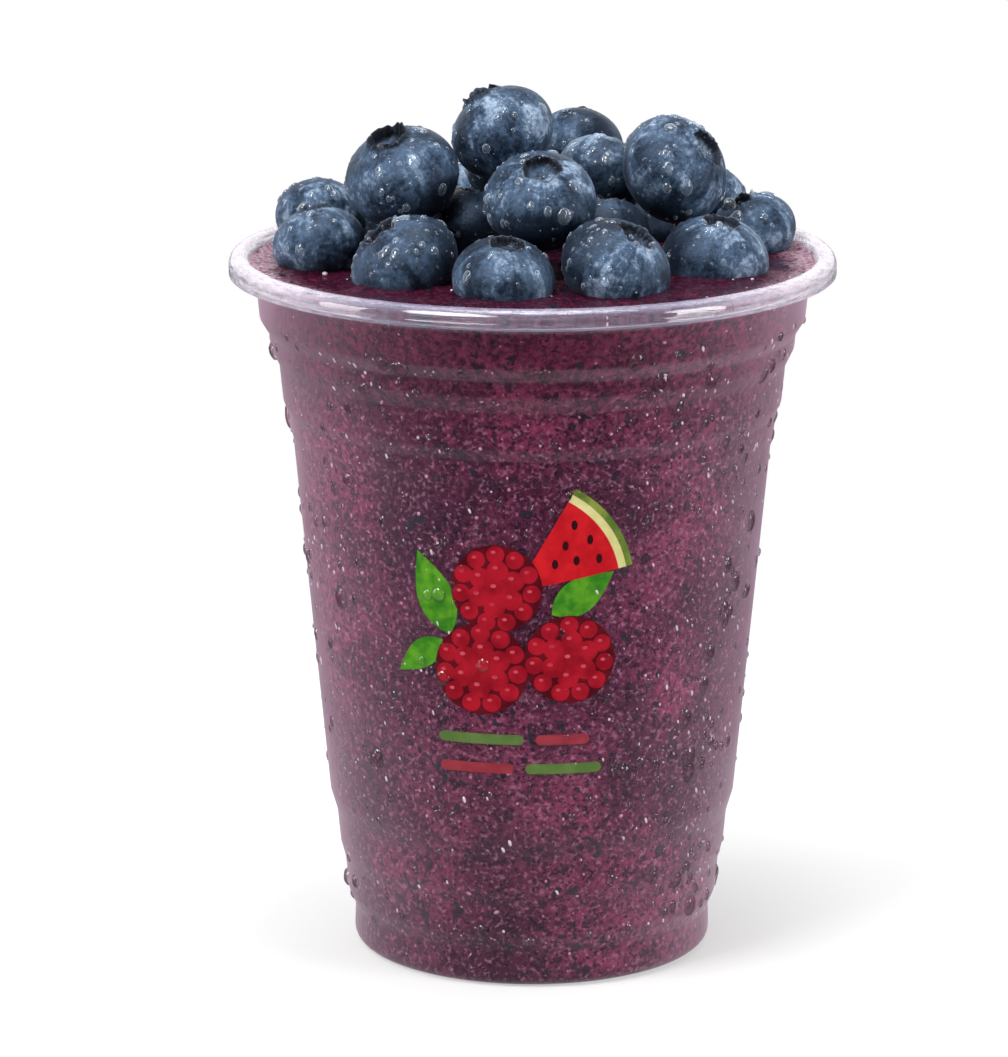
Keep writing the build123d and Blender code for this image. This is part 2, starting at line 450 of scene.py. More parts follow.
def bits_group():
    """Ragged bits strewn through a body: the mask is 1 inside each bit. Size is in metres."""
    tree = bpy.data.node_groups.new("bits", "ShaderNodeTree")
    tree.interface.new_socket("Vector", in_out="INPUT", socket_type="NodeSocketVector")
    for label in ("Size", "Share", "Fill", "Ragged"):
        tree.interface.new_socket(label, in_out="INPUT", socket_type="NodeSocketFloat")
    tree.interface.new_socket("Mask", in_out="OUTPUT", socket_type="NodeSocketFloat")
    nodes = Nodes(tree)
    given = nodes.add("NodeGroupInput").outputs
    scale = nodes.math("DIVIDE", 1.0, given["Size"])
    wander = nodes.add("ShaderNodeTexNoise", {"Vector": given["Vector"], "Detail": 2.0})
    nodes.feed(wander, "Scale", nodes.times(scale, 2.2))
    centred = nodes.vector("SUBTRACT", wander.outputs["Color"], (0.5, 0.5, 0.5))
    reach = nodes.times(nodes.times(given["Ragged"], given["Size"]), 2.0)
    moved = nodes.vector("ADD", given["Vector"], nodes.vector("SCALE", centred, reach))
    cells = nodes.add("ShaderNodeTexVoronoi", {"Vector": moved, "Scale": scale})
    tone = nodes.add("ShaderNodeSeparateColor", {"Color": cells.outputs["Color"]})
    kept = nodes.math("LESS_THAN", tone.outputs["Red"], given["Share"])
    girth = nodes.times(given["Fill"], nodes.ramp(tone.outputs["Green"], 0, 1, 0.5, 1.15))
    inside = nodes.ramp(cells.outputs["Distance"], nodes.times(girth, 0.72), girth, 1.0, 0.0)
    nodes.feed(nodes.add("NodeGroupOutput"), "Mask", nodes.times(inside, kept))
    return tree


# --- materials


def solid(nodes, colour, relief, strength, distance, sockets):
    """A solid surface with a fine relief, whose other sockets are given by name."""
    bump = nodes.add("ShaderNodeBump", {"Height": relief, "Strength": strength, "Distance": distance})
    own = {"Base Color": colour, "Normal": bump, **sockets}
    return finished(nodes, nodes.add("ShaderNodeBsdfPrincipled", own))


def pulp_colour(nodes, place, drift, pulp, fibre):
    """Blended berries: purple with dark swirls and pale fibres, and wine red towards the top."""
    swirl = nodes.noise(place, 150.0, 4.0, 0.6, 0.8)
    colour = nodes.mix(nodes.ramp(drift, 0.36, 0.64), (75, 28, 53), (131, 53, 85))
    colour = nodes.mix(nodes.ramp(swirl, 0.52, 0.70, 0.0, 0.55), colour, (52, 28, 48))
    dark = nodes.mix(0.85, colour, (44, 12, 34))
    colour = nodes.mix(nodes.ramp(pulp, 0.32, 0.66), dark, colour)
    light = nodes.mix(0.72, colour, (190, 134, 164))
    colour = nodes.mix(nodes.ramp(fibre, 0.50, 0.72, 0.0, 0.66), colour, light)
    wine = nodes.mix(nodes.ramp(pulp, 0.34, 0.66), (50, 8, 28), (104, 34, 62))
    return nodes.mix(nodes.by_height(place, 84, 110, 0.0, 0.8), colour, wine)


def top_colour(nodes, colour, place, drift, fibre):
    """Darkens the smoothie's top, and pales it by the rim at either side: froth, and painted reflection.
    """
    top = nodes.by_height(place, LEVEL - 0.7, LEVEL - 0.3)
    colour = nodes.mix(nodes.times(top, 0.68), colour, (30, 8, 22))
    # Pale froth together with a painted reflection of the surroundings, strongest at the left and right.
    foam_and_painted_reflection = nodes.mix(nodes.ramp(fibre, 0.36, 0.66), (116, 70, 92), (192, 154, 170))
    reach = nodes.plus(nodes.from_axis(place), nodes.times(drift, 0.008))
    sideways = nodes.math("ABSOLUTE", nodes.axis(place, "X"))
    rim = nodes.times(nodes.ramp(reach, 0.042, 0.050), nodes.ramp(sideways, 0.020, 0.042, 0.15, 1.0))
    return nodes.mix(nodes.times(rim, nodes.times(top, 0.85)), colour, foam_and_painted_reflection)


def smoothie_material(bits):
    """Blended berries with dark skins, a few teal clumps and pale crumbs in them."""
    nodes = new_material("smoothie")
    place = nodes.place()
    drift = nodes.noise(place, 45.0, 3.0)
    pulp = nodes.noise(place, 850.0, 5.0, 0.64)
    fibre = nodes.noise(place, 1300.0, 4.0, 0.6, 0.15)
    colour = pulp_colour(nodes, place, drift, pulp, fibre)
    colour = top_colour(nodes, colour, place, drift, fibre)
    for size, share, fill, ragged, tint, strength in SMOOTHIE_BITS:
        inputs = {"Vector": place, "Size": size, "Share": share, "Fill": fill, "Ragged": ragged}
        mask = nodes.add("ShaderNodeGroup", inputs, node_tree=bits).outputs["Mask"]
        colour = nodes.mix(nodes.times(mask, strength), colour, tint)
    sockets = {
        "Roughness": nodes.ramp(pulp, 0.3, 0.7, 0.14, 0.34),
        "Specular IOR Level": nodes.by_height(place, LEVEL - 1.1, LEVEL - 0.5, 0.0, 0.15),
    }
    return solid(nodes, colour, pulp, 0.35, 0.0004, sockets)


def clear(nodes, ior, roughness, shade=1.0):
    """A clear stuff that lets the lamps' light straight through, so that its shadow is faint."""
    inputs = {"Roughness": roughness, "IOR": ior, "Transmission Weight": 1.0}
    glass = nodes.add("ShaderNodeBsdfPrincipled", {"Base Color": (255, 255, 255), **inputs})
    through = nodes.add("ShaderNodeBsdfTransparent", {"Color": (shade, shade, shade, 1)})
    return nodes.joined(nodes.add("ShaderNodeLightPath").outputs["Is Shadow Ray"], glass, through)


def misted(nodes, stuff, share, tint):
    """A clear stuff under a thin scattering film."""
    mist_and_painted_tone = nodes.add("ShaderNodeBsdfPrincipled", {"Base Color": tint, "Roughness": 0.7})
    return finished(nodes, nodes.joined(share, stuff, mist_and_painted_tone))


def water_material(name, ior, painted_share_straight_on, painted_share_edge_on, tint, shade):
    """Drops of water with a painted tone, most round their edges: pale for glints, dark for a shaded
    ring.
    """
    nodes = new_material(name)
    edge = nodes.add("ShaderNodeLayerWeight", {"Blend": 0.40}).outputs["Facing"]
    share = nodes.ramp(edge, 0.16, 0.66, painted_share_straight_on, painted_share_edge_on)
    return misted(nodes, clear(nodes, ior, 0.0, shade), share, tint)


def wall_material():
    """Clear plastic, misted with fine water below the neck, more so where it is seen edge on."""
    nodes = new_material("cup_wall")
    place = nodes.place()
    cloud = nodes.noise(place, 60.0, 4.0, 0.6)
    below = nodes.by_height(place, 80, 106, MIST, MIST / 8)
    patch = nodes.times(nodes.ramp(cloud, 0.40, 0.72), below)
    edge = nodes.add("ShaderNodeLayerWeight", {"Blend": 0.30}).outputs["Facing"]
    strong = nodes.by_height(place, 96, 112, MIST_EDGE, MIST_EDGE * 1.35)
    share = nodes.plus(patch, nodes.times(nodes.math("POWER", edge, 1.35), strong), clamp=True)
    tint = nodes.mix(cloud, (172, 138, 160), (204, 176, 194))
    return misted(nodes, clear(nodes, *PLASTIC), share, tint)


def rim_material():
    """The cup's roll: the same plastic, a little cloudy, with fine flow lines, and painted light at its
    sides.
    """
    nodes = new_material("cup_rim")
    place = nodes.place()
    lines = nodes.noise(nodes.stretched(place, 0.12, 0.12, 1.0), 2600.0, 4.0, 0.65)
    share = nodes.times(nodes.ramp(lines, 0.38, 0.64, 0.35, 1.0), RIM_CLOUD)
    # Painted light: cloudier and paler towards the left and right, where white surroundings show
    # through.
    painted_light_flank = nodes.ramp(nodes.math("ABSOLUTE", nodes.axis(place, "X")), 0.018, 0.046)
    skirt = nodes.plus(0.22, nodes.times(painted_light_flank, 0.55))
    crest = nodes.by_height(place, CUP_HEIGHT - 1.4, CUP_HEIGHT - 0.2)
    share = nodes.times(share, nodes.math("MAXIMUM", skirt, crest))
    tint = nodes.mix(painted_light_flank, (150, 142, 166), (222, 214, 226))
    return misted(nodes, clear(nodes, *PLASTIC), share, tint)


def bloom_colour(nodes, bloom):
    """Near-black blue where the bloom is rubbed away, dusty pale blue where it is thick."""
    ramp = nodes.add("ShaderNodeValToRGB", {"Fac": bloom})
    elements = ramp.color_ramp.elements
    for position, _ in BLOOM_STOPS[1:-1]:
        elements.new(position)
    for element, (position, tint) in zip(elements, BLOOM_STOPS):
        element.position = position
        element.color = (*srgb(*tint), 1)
    return ramp.outputs["Color"]


def skin_material():
    """Blueberry skin under a waxy bloom, streaked and rubbed, with painted shade low inside the heap."""
    nodes = new_material("blueberry_skin")
    skin = nodes.own("skin", "Vector")
    patches = nodes.ramp(nodes.noise(skin, 0.16, 4.0, 0.6, 0.6), 0.34, 0.66)
    runs = nodes.ramp(nodes.noise(nodes.own("streak", "Vector"), 0.7, 4.0, 0.6, 0.3), 0.26, 0.74)
    mottle = nodes.ramp(nodes.noise(skin, 1.3, 6.0, 0.72), 0.26, 0.74)
    bloom = nodes.plus(nodes.times(patches, 0.42), nodes.times(runs, 0.22))
    bloom = nodes.times(nodes.plus(bloom, nodes.times(mottle, 0.36)), nodes.own("wax"))
    place = nodes.place()
    # Painted shade: the bloom is darkened low in the middle of the heap, where the berries shade each
    # other.
    inside = nodes.ramp(nodes.from_axis(place), 0.020, 0.032, 1.0, 0.0)
    painted_heap_shade = nodes.times(inside, nodes.by_height(place, 119, 129, 0.72, 0.0))
    bloom = nodes.times(bloom, nodes.minus(1.0, painted_heap_shade))
    husk = nodes.mix(nodes.ramp(mottle, 0.2, 0.9), (5, 4, 6), (26, 21, 23))
    colour = nodes.mix(nodes.own("crown"), bloom_colour(nodes, bloom), husk)
    pale = nodes.times(nodes.own("edge"), nodes.ramp(runs, 0.2, 0.9, 0.05, 0.8))
    colour = nodes.mix(pale, colour, (112, 112, 120))
    sockets = {
        "Roughness": nodes.ramp(bloom, 0.1, 0.8, 0.34, 0.62),
        "Specular IOR Level": 0.4,
        "Specular Tint": (150, 178, 214),
        "Sheen Weight": 0.12,
        "Sheen Tint": (150, 172, 205),
    }
    return solid(nodes, colour, mottle, 0.25, 0.0002, sockets)


def plain_material(name, tint, other, scale, roughness, gloss=0.0):
    """A surface of two close tones in soft patches, with a fine grain."""
    nodes = new_material(name)
    tone = nodes.noise(nodes.place(), scale, 4.0, 0.6)
    colour = nodes.mix(nodes.ramp(tone, 0.35, 0.65), tint, other)
    rough = nodes.ramp(tone, 0.3, 0.7, roughness - 0.1, roughness + 0.1)
    return solid(nodes, colour, tone, 0.2, 0.0001, {"Roughness": rough, "Specular IOR Level": gloss})


# --- scattering


def scatter_inputs(tree):
    """Gives the scattering tree its sockets."""
    sockets = [("Geometry", "Geometry"), ("Per square metre", "Float")]
    sockets += [("Smallest", "Float"), ("Largest", "Float"), *BIT_SHAPE, ("Material", "Material")]
    for label, kind in sockets:
        tree.interface.new_socket(label, in_out="INPUT", socket_type="NodeSocket" + kind)
    tree.interface.new_socket("Geometry", in_out="OUTPUT", socket_type="NodeSocketGeometry")


def chance(nodes, seed):
    """A random value from 0 to 1 for each bit."""
    made = nodes.add("FunctionNodeRandomValue", {"Seed": seed}, data_type="FLOAT")
    return made.outputs["Value"]


def bit_scale(nodes, given):
    """A bit's half lengths: few large ones among many small, some of them drawn out."""
    size = nodes.math("POWER", chance(nodes, given["Seed"]), given["Rarity of large"])
    span = nodes.minus(given["Largest"], given["Smallest"])
    size = nodes.plus(nodes.times(size, span), given["Smallest"])
    other = chance(nodes, nodes.plus(given["Seed"], 11))
    tall = nodes.plus(nodes.times(nodes.minus(given["Stretch"], 1.0), other), 1.0)
    inputs = {"X": size, "Y": nodes.times(size, tall), "Z": nodes.times(size, given["Flatness"])}
    return nodes.add("ShaderNodeCombineXYZ", inputs)


def bit_turn(nodes, given, normal):
    """Lays a bit flat on its host, upright, and swings it by up to Turn."""
    facing = nodes.add("FunctionNodeAlignRotationToVector", {"Vector": normal}, axis="Z")
    inputs = {"Vector": (0.0, 0.0, 1.0), "Rotation": facing}
    standing = nodes.add("FunctionNodeAlignRotationToVector", inputs, axis="Y", pivot_axis="Z")
    angle = nodes.times(chance(nodes, nodes.plus(given["Seed"], 5)), given["Turn"])
    inputs = {"Rotation": standing, "Rotate By": nodes.add("ShaderNodeCombineXYZ", {"Z": angle})}
    return nodes.add("FunctionNodeRotateRotation", inputs, rotation_space="LOCAL")


def wobbled(nodes, given, bits):
    """Makes the bits one mesh and pushes its points about, so that none is quite round."""
    real = nodes.add("GeometryNodeRealizeInstances", {"Geometry": bits})
    inputs = {"Vector": nodes.add("GeometryNodeInputPosition"), "Scale": 1700.0, "Detail": 2.0}
    uneven = nodes.add("ShaderNodeTexNoise", inputs)
    centred = nodes.vector("SUBTRACT", uneven.outputs["Color"], (0.5, 0.5, 0.5))
    push = nodes.vector("SCALE", centred, given["Wobble"])
    return nodes.add("GeometryNodeSetPosition", {"Geometry": real, "Offset": push})


def scatter_tree():
    """Geometry Nodes that strew small rounded bits over a host, and leave one plain mesh."""
    tree = bpy.data.node_groups.new("scatter", "GeometryNodeTree")
    scatter_inputs(tree)
    nodes = Nodes(tree)
    given = nodes.add("NodeGroupInput").outputs
    wet = nodes.add("GeometryNodeInputNamedAttribute", {"Name": "wet"}, data_type="FLOAT")
    density = nodes.times(given["Per square metre"], wet)
    inputs = {"Mesh": given["Geometry"], "Density": density, "Seed": given["Seed"]}
    spots = nodes.add("GeometryNodeDistributePointsOnFaces", inputs)
    ball = nodes.add("GeometryNodeMeshIcoSphere", {"Radius": 1.0, "Subdivisions": given["Detail"]})
    turn, scale = bit_turn(nodes, given, spots.outputs["Normal"]), bit_scale(nodes, given)
    inputs = {"Points": spots, "Instance": ball, "Rotation": turn, "Scale": scale}
    bits = wobbled(nodes, given, nodes.add("GeometryNodeInstanceOnPoints", inputs))
    smooth = nodes.add("GeometryNodeSetShadeSmooth", {"Geometry": bits})
    painted = nodes.add("GeometryNodeSetMaterial", {"Geometry": smooth, "Material": given["Material"]})
    nodes.feed(nodes.add("NodeGroupOutput"), "Geometry", painted)
    return tree


def strew(tree, host, material, name, density, smallest, largest, *shape):
    """Strews bits over a host mesh. Density is per square centimetre, sizes are radii in mm, and
    the shape is given in the order of BIT_SHAPE."""
    helper = shown_as(name + "_host", host)
    modifier = helper.modifiers.new("scatter", "NODES")
    modifier.node_group = tree
    values = {"Per square metre": density * 1e4, "Material": material}
    values.update(Smallest=smallest * MM, Largest=largest * MM)
    values.update({label: value for (label, _), value in zip(BIT_SHAPE, shape)})
    values["Wobble"] *= MM
    for item in tree.interface.items_tree:
        if item.in_out == "INPUT" and item.name in values:
            modifier[item.identifier] = values[item.name]
    graph = bpy.context.evaluated_depsgraph_get()
    made = bpy.data.meshes.new_from_object(helper.evaluated_get(graph), depsgraph=graph)
    bpy.data.objects.remove(helper)
    if "wet" in made.attributes:
        made.attributes.remove(made.attributes["wet"])
    return piece(made, name, material)


# --- cup and smoothie


def wall_radius(outline, height):
    """The outside radius of the cup's wall at a height, in millimetres."""
    side = upright(outline, 0, CUP_HEIGHT)
    for (r0, z0), (r1, z1) in zip(side, side[1:]):
        if z0 <= height <= z1 and z1 > z0:
            return r0 + (r1 - r0) * (height - z0) / (z1 - z0)
    raise ValueError(height)


def rim_flow(radius, height, angle):
    """The roll of the rim is a little uneven, as moulded plastic is."""
    if radius < RIM_R - RIM_WIDTH - 0.6 or height < CUP_HEIGHT - NECK_H:
        return radius, height
    x, y = math.cos(angle) * RIM_R, math.sin(angle) * RIM_R
    swell = 0.025 * ripple(x, y, height, 2.5) + 0.04 * ripple(x, y, 0, 14.0, 3.0)
    return radius - abs(swell), height + 0.6 * swell - 0.03  # never past the roll's true size


def build_cup(outside, wall, rim):
    """The whole cup as one thin closed sheet, with its roll left out of the wall's misting."""
    outline = rounded(outside) + rounded(parallel(outside, WALL))[::-1]
    outline = [(max(r, 0.4), z) for r, z in outline]
    thing = piece(turned("cup", outline, CUP_SIDES, rim_flow), "cup_wall", wall, "cup")
    thing.data.materials.append(rim)
    for face in thing.data.polygons:
        face.material_index = int(face.center.z > (CUP_HEIGHT - RIM_DROP) * MM)


def waterline(berry):
    """How wide a berry is at the smoothie's surface."""
    down = berry["centre"].z - LEVEL
    high = berry["wide"] * math.sqrt(1 - (1 - berry["squash"] ** 2) * berry["crown"].z ** 2)
    return berry["wide"] * 0.97 * math.sqrt(max(0, 1 - (down / high) ** 2))


def build_smoothie(outside, berries, material):
    """Fills the cup to the brim, with a lumpy wet top that climbs a little at what it meets."""
    side = rounded(parallel(outside, WALL - BITE)[:-ROLL_POINTS])
    reach = RIM_R - RIM_WIDTH + BITE
    side = [(r, z) for r, z in side if z < LEVEL - 1.0] + [(reach, LEVEL - 0.8), (reach, LEVEL)]
    top = [(reach * (1 - k / TOP_RINGS), LEVEL) for k in range(1, TOP_RINGS)]
    afloat = [(b["centre"].x, b["centre"].y, waterline(b)) for b in berries if b["floats"]]

    def lumps(radius, height, angle):
        if height < LEVEL:
            return radius, height
        x, y = radius * math.cos(angle), radius * math.sin(angle)
        rise = 0.42 * ripple(x, y * 1.6, 0, 5.5) + 0.22 * ripple(x, y, 0, 2.1, 5.0)
        rise += 0.10 * ripple(x, y, 0, 0.9, 9.0)
        rise += 0.55 * math.exp(-(reach - radius) / 0.9)
        for bx, by, wide in afloat:
            gap = math.hypot(x - bx, y - by) - wide
            if gap < 4:
                rise += 0.6 * math.exp(-max(gap, 0) / 0.7)
        return radius, height + rise - 0.25

    mesh = turned("smoothie", side + top, CUP_SIDES, lumps)
    mark(mesh, "wet", [shore(point, afloat) for point in points_of(mesh)])
    return piece(mesh, "smoothie_body", material, "smoothie")


def shore(point, afloat):
    """How wet a point of the smoothie's top is: most where it meets a berry, dry under one."""
    if point[2] < LEVEL - 0.6:
        return 0.0
    gap = min(math.hypot(point[0] - x, point[1] - y) - wide for x, y, wide in afloat)
    return 0.0 if gap < 0.1 else 0.04 + math.exp(-gap / 0.7)


# --- blueberries


def berry_facts(name, thing):
    """A packed berry's centre, half girth, squash and crown direction, from its own mesh."""
    corners = points_of(thing.data)
    thing.data.calc_loop_triangles()
    tri = np.array([t.vertices for t in thing.data.loop_triangles])
    a, b, c = corners[tri[:, 0]], corners[tri[:, 1]], corners[tri[:, 2]]
    volume = np.einsum("ij,ij->i", a, np.cross(b, c)) / 6
    middle = ((a + b + c) / 4 * volume[:, None]).sum(0) / volume.sum()
    a, b, c = a - middle, b - middle, c - middle
    volume = np.einsum("ij,ij->i", a, np.cross(b, c)) / 6
    total = a + b + c
    spread = np.einsum("i,ij,ik->jk", volume, total, total)
    for corner in (a, b, c):
        spread += np.einsum("i,ij,ik->jk", volume, corner, corner)
    crown = np.linalg.eigh(spread)[1][:, 0]
    crown = crown * np.sign((corners.mean(0) - middle) @ crown)
    along = (corners - middle) @ crown
    across = np.linalg.norm(corners - middle - along[:, None] * crown, axis=1)
    wide, foot = across.max(), along.min()
    lean = np.sqrt(np.clip(1 - (across / wide) ** 2, 0, 1))
    lower = (along < 0) & (lean > 0.1) & (lean < 0.7)
    offset = np.median((along - foot * lean)[lower] / (1 - lean)[lower])
    return {
        "name": name,
        "centre": Vector(middle + crown * offset),
        "crown": Vector(crown),
        "wide": float(wide),
        "squash": float((offset - foot) / wide),
        "floats": float(corners[:, 2].min()) < LEVEL,
    }


def lobe(angle, heights, turn):
    """How far a sepal stands at this angle, from 0 in a gap to about 1 at a tip."""
    place = (angle / (2 * math.pi) * LOBES + turn) % LOBES
    across = abs(place % 1 - 0.5) * 2
    return heights[int(place)] * max(0.0, 1 - across**1.6) ** 0.8


def crown_rows(squash, angle, sepals):
    """The crown's section at one angle, from the middle of its floor to the skin: radius, height
    as shares of half the girth, and how much each point is husk and how much is edge."""
    turn, heights, stand, shift = sepals
    tall = stand > TALL
    tip = lobe(angle, heights, turn)
    tip = 0.4 + 0.6 * tip if tall else tip
    ragged = ripple(math.cos(angle), math.sin(angle), 0, 0.16, shift)
    brim = squash * math.sqrt(1 - CROWN_R**2)
    floor = brim - 0.17
    mouth = 0.280 + 0.075 * (1 - min(tip, 1)) + 0.022 * ragged
    rise = (stand + 0.02) * tip + 0.03 * ragged - 0.012
    lean = mouth + 0.018 + 0.03 * tip
    return [(r, floor + z, husk, 0.0) for r, z, husk in CROWN_FLOOR] + [
        (mouth - 0.022, floor + 0.060, 0.95, 0.0),
        (mouth - 0.009, brim - 0.055, 1.0, 0.0),
        (mouth, brim - 0.012, 1.0, 0.0),
        (lean - 0.010, brim + 0.55 * rise, 1.0, 0.0),
        (lean + 0.002, brim + rise - 0.004, 0.9, 0.1 if tall else 0.8),
        (lean + 0.010, brim + rise, 0.9 if tall else 0.4, 0.1 if tall else 1.0),
        (lean + 0.018, brim + rise - 0.010, 0.95 if tall else 0.05, 0.1 if tall else 0.5),
        (lean + 0.022, brim + 0.45 * rise - 0.008, 0.8 if tall else 0.0, 0.0),
        (max(lean + 0.030, CROWN_R + 0.02), brim - 0.014, 0.0, 0.0),
    ]


def skin_point(polar, angle, squash, shift):
    """A point of the skin, with a small dent at the foot: radius, height, husk and edge."""
    r, z = math.sin(polar), squash * math.cos(polar)
    dent = math.exp(-(((math.pi - polar) / 0.16) ** 2))
    z += 0.05 * dent
    x, y = r * math.cos(angle), r * math.sin(angle)
    swell = 0.010 * ripple(x, y, z, 0.9, shift) + 0.004 * ripple(x, y, z, 0.3, shift) - 0.004
    return r * (1 + swell), z * (1 + swell), 0.8 * dent, 0.0


def berry_rows(berry, sepals, top):
    """A berry's rings of points, from its foot to its crown, and what is stored at each point."""
    wide, squash, shift = berry["wide"], berry["squash"], sepals[-1]
    facing = berry["crown"].to_track_quat("Z", "Y")
    turns = [2 * math.pi * j / BERRY_SIDES for j in range(BERRY_SIDES)]
    crowns = [crown_rows(squash, angle, sepals) for angle in turns]
    start, lowest = math.asin(CROWN_R + 0.07), math.pi - 0.05
    polars = [start + (lowest - start) * (k / SKIN_ROWS) for k in range(SKIN_ROWS + 1)]
    sections = [[skin_point(polar, angle, squash, shift) for angle in turns] for polar in polars[::-1]]
    sections += [list(ring) for ring in list(zip(*crowns))[::-1]]
    rows = []
    stored = {"crown": [], "edge": [], "skin": [], "streak": []}
    for section in sections:
        row = []
        for angle, (r, z, husk, edge) in zip(turns, section):
            cos, sin = math.cos(angle), math.sin(angle)
            local = Vector((r * cos, r * sin, z)) * wide
            place = facing @ local + berry["centre"]
            place.z = min(place.z, top - 0.1)
            row.append(place * MM)
            stored["crown"].append(husk)
            stored["edge"].append(edge)
            stored["skin"].append(tuple(local + Vector((shift * 9, shift * 4, -shift * 6))))
            stored["streak"].append((cos * 8 + shift, sin * 8 - shift, z * wide * 0.16))
        rows.append(row)
    return rows, stored


def dampness(mesh, top, most):
    """How much dew a berry carries: none under the smoothie, most where a lamp picks it out."""
    heights = points_of(mesh)[:, 2]
    normals = np.array([v.normal for v in mesh.vertices])
    lit = 0.3 + 1.3 * np.clip(normals @ np.array(Vector(SOFT_BOX).normalized()), 0, 1)
    return np.where((heights > LEVEL + 0.8) & (heights < top - 1.0), most * lit, 0.0)


def build_berry(berry, index, top, material):
    """One blueberry: an uneven flattened ball with a ragged hollow crown."""
    rng = random.Random(400 + index)
    heights = [rng.uniform(0.55, 1.15) for _ in range(LOBES)]
    shift = rng.uniform(0, 50)
    stand = TALL_CROWNS.get(berry["name"], rng.uniform(0.035, 0.075))
    rows, stored = berry_rows(berry, (rng.uniform(0, LOBES), heights, stand, shift), top)
    mesh = grid_mesh(berry["name"], rows)
    for name, values in stored.items():
        mark(mesh, name, values + [values[0], values[-BERRY_SIDES]])  # the last two are the poles
    mark(mesh, "wax", [rng.uniform(0.88, 1.12)] * len(mesh.vertices))
    mark(mesh, "wet", dampness(mesh, top, rng.uniform(0.5, 1.3)))
    name = "berry_" + berry["name"].split("_", 1)[1]
    return piece(mesh, name, material, berry["name"])


def joined(name, meshes):
    """One mesh with the points and faces of several, and their wetness."""
    points, faces, wet = [], [], []
    for mesh in meshes:
        start = len(points)
        points += [tuple(v.co) for v in mesh.vertices]
        faces += [tuple(start + i for i in p.vertices) for p in mesh.polygons]
        wet += [item.value for item in mesh.attributes["wet"].data]
    made = plain_mesh(name, points, faces)
    mark(made, "wet", wet)
    return made


# --- print on the wall


def spot(x, y, reach, angle, squeeze=1.0):
    """The place at an angle on a circle round a middle."""
    return x + reach * math.cos(angle), y + reach * squeeze * math.sin(angle)


def disc(x, y, radius, corners=28, squeeze=1.0):
    """A round outline."""
    return [spot(x, y, radius, 2 * math.pi * k / corners, squeeze) for k in range(corners)]


def leaf(x, y, length, width, heading, corners=24):
    """A leaf's outline, pointed at both ends, from its stalk along a heading in degrees."""
    cos, sin = math.cos(math.radians(heading)), math.sin(math.radians(heading))
    edge = []
    for k in range(corners):
        t = k / corners * 2
        along = t if t <= 1 else 2 - t
        bulge = width / 2 * math.sin(math.pi * along**0.8) * (1 if t <= 1 else -1)
        edge.append((x + along * length * cos - bulge * sin, y + along * length * sin + bulge * cos))
    return edge


def fan(x, y, inner, outer, start, end, corners=24):
    """A ring's sector between two headings, in degrees. An inner radius of 0 makes a wedge."""
    turn = [math.radians(start + (end - start) * k / corners) for k in range(corners + 1)]
    inside = [spot(x, y, inner, a) for a in turn[::-1]] if inner else [(x, y)]
    return [spot(x, y, outer, a) for a in turn] + inside


def bar(x, y, length, height, corners=8):
    """A plain bar with round ends."""
    half, r = length / 2 - height / 2, height / 2
    right = [math.pi * (k / corners - 0.5) for k in range(corners + 1)]
    return [spot(x + half, y, r, a) for a in right] + [spot(x - half, y, -r, a) for a in right]


def filled(corners):
    """A flat shape cut into small triangles: its points, and three points' numbers for each."""
    edge = []
    for here, after in zip(corners, corners[1:] + corners[:1]):
        parts = max(1, math.ceil(math.dist(here, after) / INK_STEP))
        edge += [Vector(here).lerp(Vector(after), k / parts) for k in range(parts)]
    low = Vector((min(p.x for p in edge), min(p.y for p in edge)))
    across = max(p.x for p in edge) - low.x
    tall = max(p.y for p in edge) - low.y
    inner = [
        Vector((low.x + i * INK_STEP, low.y + j * INK_STEP))
        for i in range(1, int(across / INK_STEP) + 1)
        for j in range(1, int(tall / INK_STEP) + 1)
    ]
    round_it = [(i, (i + 1) % len(edge)) for i in range(len(edge))]
    flat, _, tris, *_ = geometry.delaunay_2d_cdt(edge + inner, round_it, [], 1, 1e-5)
    return flat, tris


def wall_spot(outline, flat, depth):
    """A flat point of the print wrapped onto the cup, a little proud of the wall by depth."""
    u, z = flat.x + PRINT_AT, flat.y + PRINT_H
    radius = wall_radius(outline, z)
    angle = u / radius
    r = radius + depth
    return (r * math.sin(angle) * MM, -r * math.cos(angle) * MM, z * MM)


def ink_mesh(name, outline, shapes, layer):
    """Flat shapes in (arc length, height) millimetres laid on the wall, layer films thick."""
    points, faces = [], []
    lift = INK * layer
    for corners in shapes:
        flat, tris = filled(corners)
        used = sorted({i for tri in tris for i in tri})
        again = {old: len(points) + k for k, old in enumerate(used)}
        tris = [[again[i] for i in tri] for tri in tris]
        for depth in (lift, lift - INK_DEPTH):
            points += [wall_spot(outline, flat[i], depth) for i in used]
        count = len(used)
        for a, b, c in tris:
            faces += [(a, b, c), (c + count, b + count, a + count)]
        border = dict.fromkeys(pair for a, b, c in tris for pair in ((a, b), (b, c), (c, a)))
        faces += [(b, a, a + count, b + count) for a, b in border if (b, a) not in border]
    return plain_mesh(name, points, faces)


def drupes_of(x, y, radius):
    """A round fruit's small drupelets: rings of discs that shrink towards its edge."""
    found = [(x, y, radius * 0.24)]
    for ring, count, size in ((0.42, 6, 0.235), (0.78, 11, 0.2)):
        for k in range(count):
            middle = spot(x, y, radius * ring, 2 * math.pi * (k + ring) / count)
            found.append((*middle, radius * size))
    return found


def slice_shapes():
    """A slice's rind, cream, flesh and pips."""
    pips = [(14.4, 21), (14.6, 35), (14.4, 49), (11.0, 27), (11.0, 43), (7.8, 35)]
    middles = [spot(*SLICE_AT, reach, math.radians(heading)) for reach, heading in pips]
    seeds = [disc(*middle, 0.5, 10, 1.6) for middle in middles]
    bands = ((17.2, 19.4), (17.0, 18.3), (0, 17.2))
    return *[[fan(*SLICE_AT, inner, outer, *SLICE_SPAN)] for inner, outer in bands], seeds


